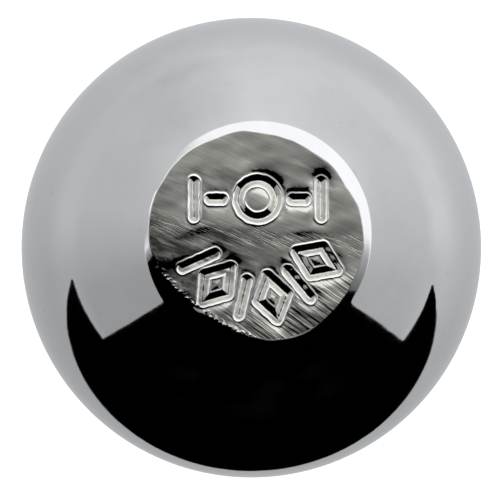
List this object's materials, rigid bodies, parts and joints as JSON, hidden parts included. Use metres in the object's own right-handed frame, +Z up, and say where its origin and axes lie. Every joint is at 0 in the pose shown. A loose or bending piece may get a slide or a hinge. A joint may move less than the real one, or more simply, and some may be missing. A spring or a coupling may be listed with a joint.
{
  "type": "trailer hitch ball",
  "caption": "Chrome trailer hitch ball on a waisted neck and flange, with a threaded straight shank that a hex nut and split lock washer clamp to a drawbar.",
  "frame": {"origin": "centre of the flange's seat face, on the shank's axis, where the shank leaves the flange", "axes": "+Z up the shank's axis through the ball to the flat land; +X along the flange between its two wrench flats; +Y through the wrench flats, towards the straight row of marks on the land"},
  "size_m": [0.0476, 0.0476, 0.0974],
  "materials": {
    "chrome_plate": "polished chrome plate on forged steel",
    "spring_steel": "zinc-plated spring steel, satin",
    "zinc_plate": "bright zinc plate on steel"
  },
  "bodies": {
    "ball_stud": {"ball_stud": "chrome_plate"},
    "lock_washer": {"lock_washer": "spring_steel"},
    "hex_nut": {"hex_nut": "zinc_plate"}
  },
  "joints": [
    {"name": "washer_slide", "type": "slide", "parent": "ball_stud", "child": "lock_washer", "axis": [0, 0, 1], "range_m": [-0.0407, 0.0064]},
    {"name": "nut_turn", "type": "hinge", "parent": "lock_washer", "child": "hex_nut", "pos_m": [0, 0, -0.02823], "axis": [0, 0, 1], "range_deg": [-5760, 900]}
  ],
  "couplings": [
    {"joint": "washer_slide", "follows": "nut_turn", "m_per_rad": 0.00040425}
  ]
}
